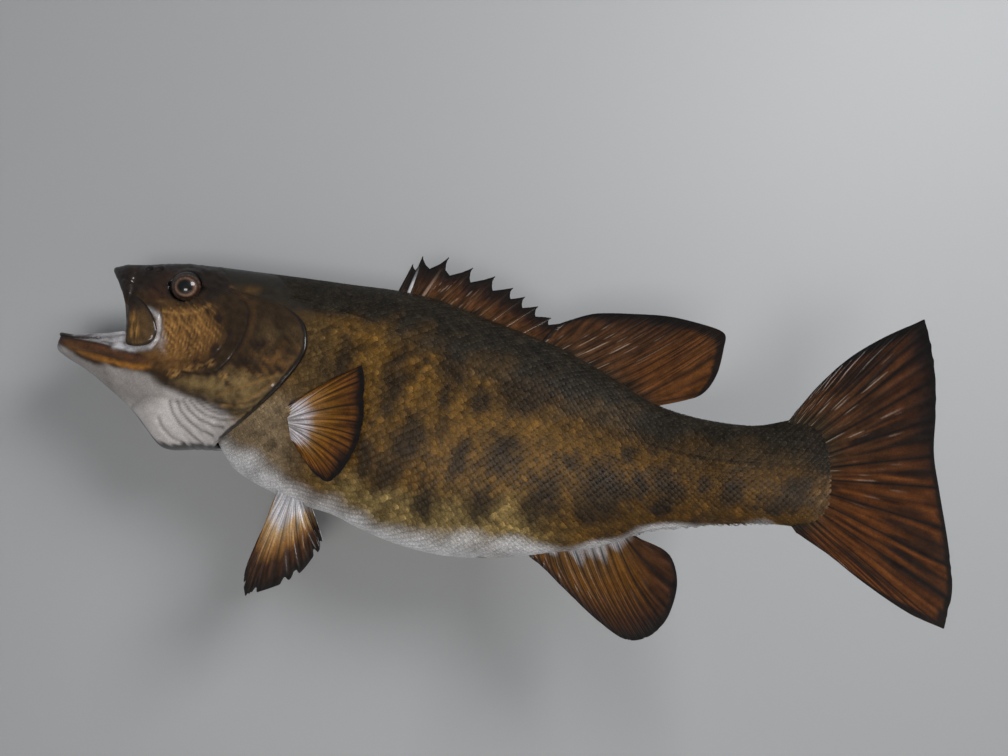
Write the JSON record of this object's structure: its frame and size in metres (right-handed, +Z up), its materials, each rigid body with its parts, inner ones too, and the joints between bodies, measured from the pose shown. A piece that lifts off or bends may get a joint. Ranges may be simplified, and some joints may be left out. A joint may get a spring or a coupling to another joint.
{
  "type": "mounted smallmouth bass",
  "caption": "Life-size skin-mounted smallmouth bass with open mouth, spread fins and a kicked tail, made to hang flat on a wall by a hidden wooden block.",
  "frame": {"origin": "on the back face of the hanging block, where it rests on the wall, on the block's middle line and 12 mm above its lower edge", "axes": "+X along the wall towards the tail, +Y into the wall, +Z up; the head is at -X and the fish's left side faces -Y"},
  "size_m": [0.4201, 0.169, 0.2038],
  "materials": {
    "head_skin": "dried skin over bone, painted dark olive brown, clear gloss varnish",
    "jaw_skin": "painted orange brown, clear gloss varnish",
    "throat_skin": "painted grey white, clear gloss varnish",
    "gill_cover": "thin bone under skin, painted olive gold, clear gloss varnish",
    "lip_bone": "bone plate, golden brown with a dark edge, clear gloss varnish",
    "mouth_lining": "painted pale flesh white, clear gloss varnish",
    "scaled_skin": "scaled skin, olive gold with dark blotches and a pale belly, clear gloss varnish",
    "fin_web": "dried fin rays and web, amber brown with black edges, clear gloss varnish",
    "eye_glass": "polished glass eye with a copper ring round a black pupil",
    "block_wood": "planed bare pine",
    "hanger_steel": "zinc plated"
  },
  "bodies": {
    "root": {"head": "head_skin", "lower_jaw": "jaw_skin", "throat": "throat_skin", "gill_cover_left": "gill_cover", "gill_cover_right": "gill_cover", "maxilla_left": "lip_bone", "maxilla_right": "lip_bone", "eye_left": "eye_glass", "eye_right": "eye_glass", "tongue": "mouth_lining", "trunk": "scaled_skin", "tail_root": "scaled_skin", "dorsal_fin_spiny": "fin_web", "dorsal_fin_soft": "fin_web", "anal_fin": "fin_web", "caudal_fin": "fin_web", "pectoral_fin_left": "fin_web", "pectoral_fin_right": "fin_web", "pelvic_fin_left": "fin_web", "pelvic_fin_right": "fin_web", "hanging_block": "block_wood", "hanger_plate": "hanger_steel", "hanger_screw_left": "hanger_steel", "hanger_screw_right": "hanger_steel"}
  },
  "joints": []
}
